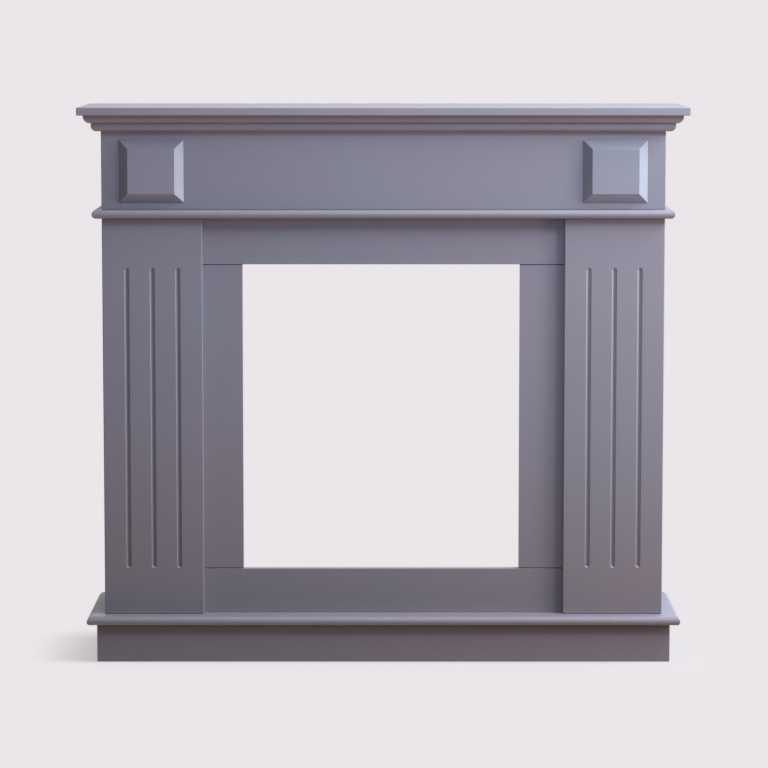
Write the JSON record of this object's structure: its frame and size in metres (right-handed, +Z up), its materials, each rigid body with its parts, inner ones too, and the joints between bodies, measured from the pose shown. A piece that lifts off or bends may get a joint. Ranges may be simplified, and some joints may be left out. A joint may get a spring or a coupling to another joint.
{
  "type": "fireplace mantelpiece",
  "caption": "Free-standing painted fireplace surround with mantel shelf, fluted pilasters, bevelled frieze blocks, framed fire opening and round-nosed hearth board on a plinth.",
  "frame": {"origin": "on the floor, at the middle of the mantel shelf's width and depth", "axes": "+X to the right seen from the room, +Y back to the wall, +Z up"},
  "size_m": [1.2, 0.28, 1.105],
  "materials": {
    "satin_paint": "cool grey satin paint on fibreboard"
  },
  "bodies": {
    "root": {"plinth_front": "satin_paint", "plinth_side_left": "satin_paint", "plinth_side_right": "satin_paint", "hearth_board": "satin_paint", "frame_bottom_rail": "satin_paint", "frame_stile_left": "satin_paint", "frame_stile_right": "satin_paint", "frame_top_rail": "satin_paint", "pilaster_left": "satin_paint", "pilaster_right": "satin_paint", "side_panel_left": "satin_paint", "side_panel_right": "satin_paint", "ledge_board": "satin_paint", "frieze_board": "satin_paint", "frieze_side_left": "satin_paint", "frieze_side_right": "satin_paint", "corner_block_left": "satin_paint", "corner_block_right": "satin_paint", "lower_ovolo_front": "satin_paint", "lower_ovolo_left": "satin_paint", "lower_ovolo_right": "satin_paint", "upper_ovolo_front": "satin_paint", "upper_ovolo_left": "satin_paint", "upper_ovolo_right": "satin_paint", "mantel_shelf": "satin_paint"}
  },
  "joints": []
}
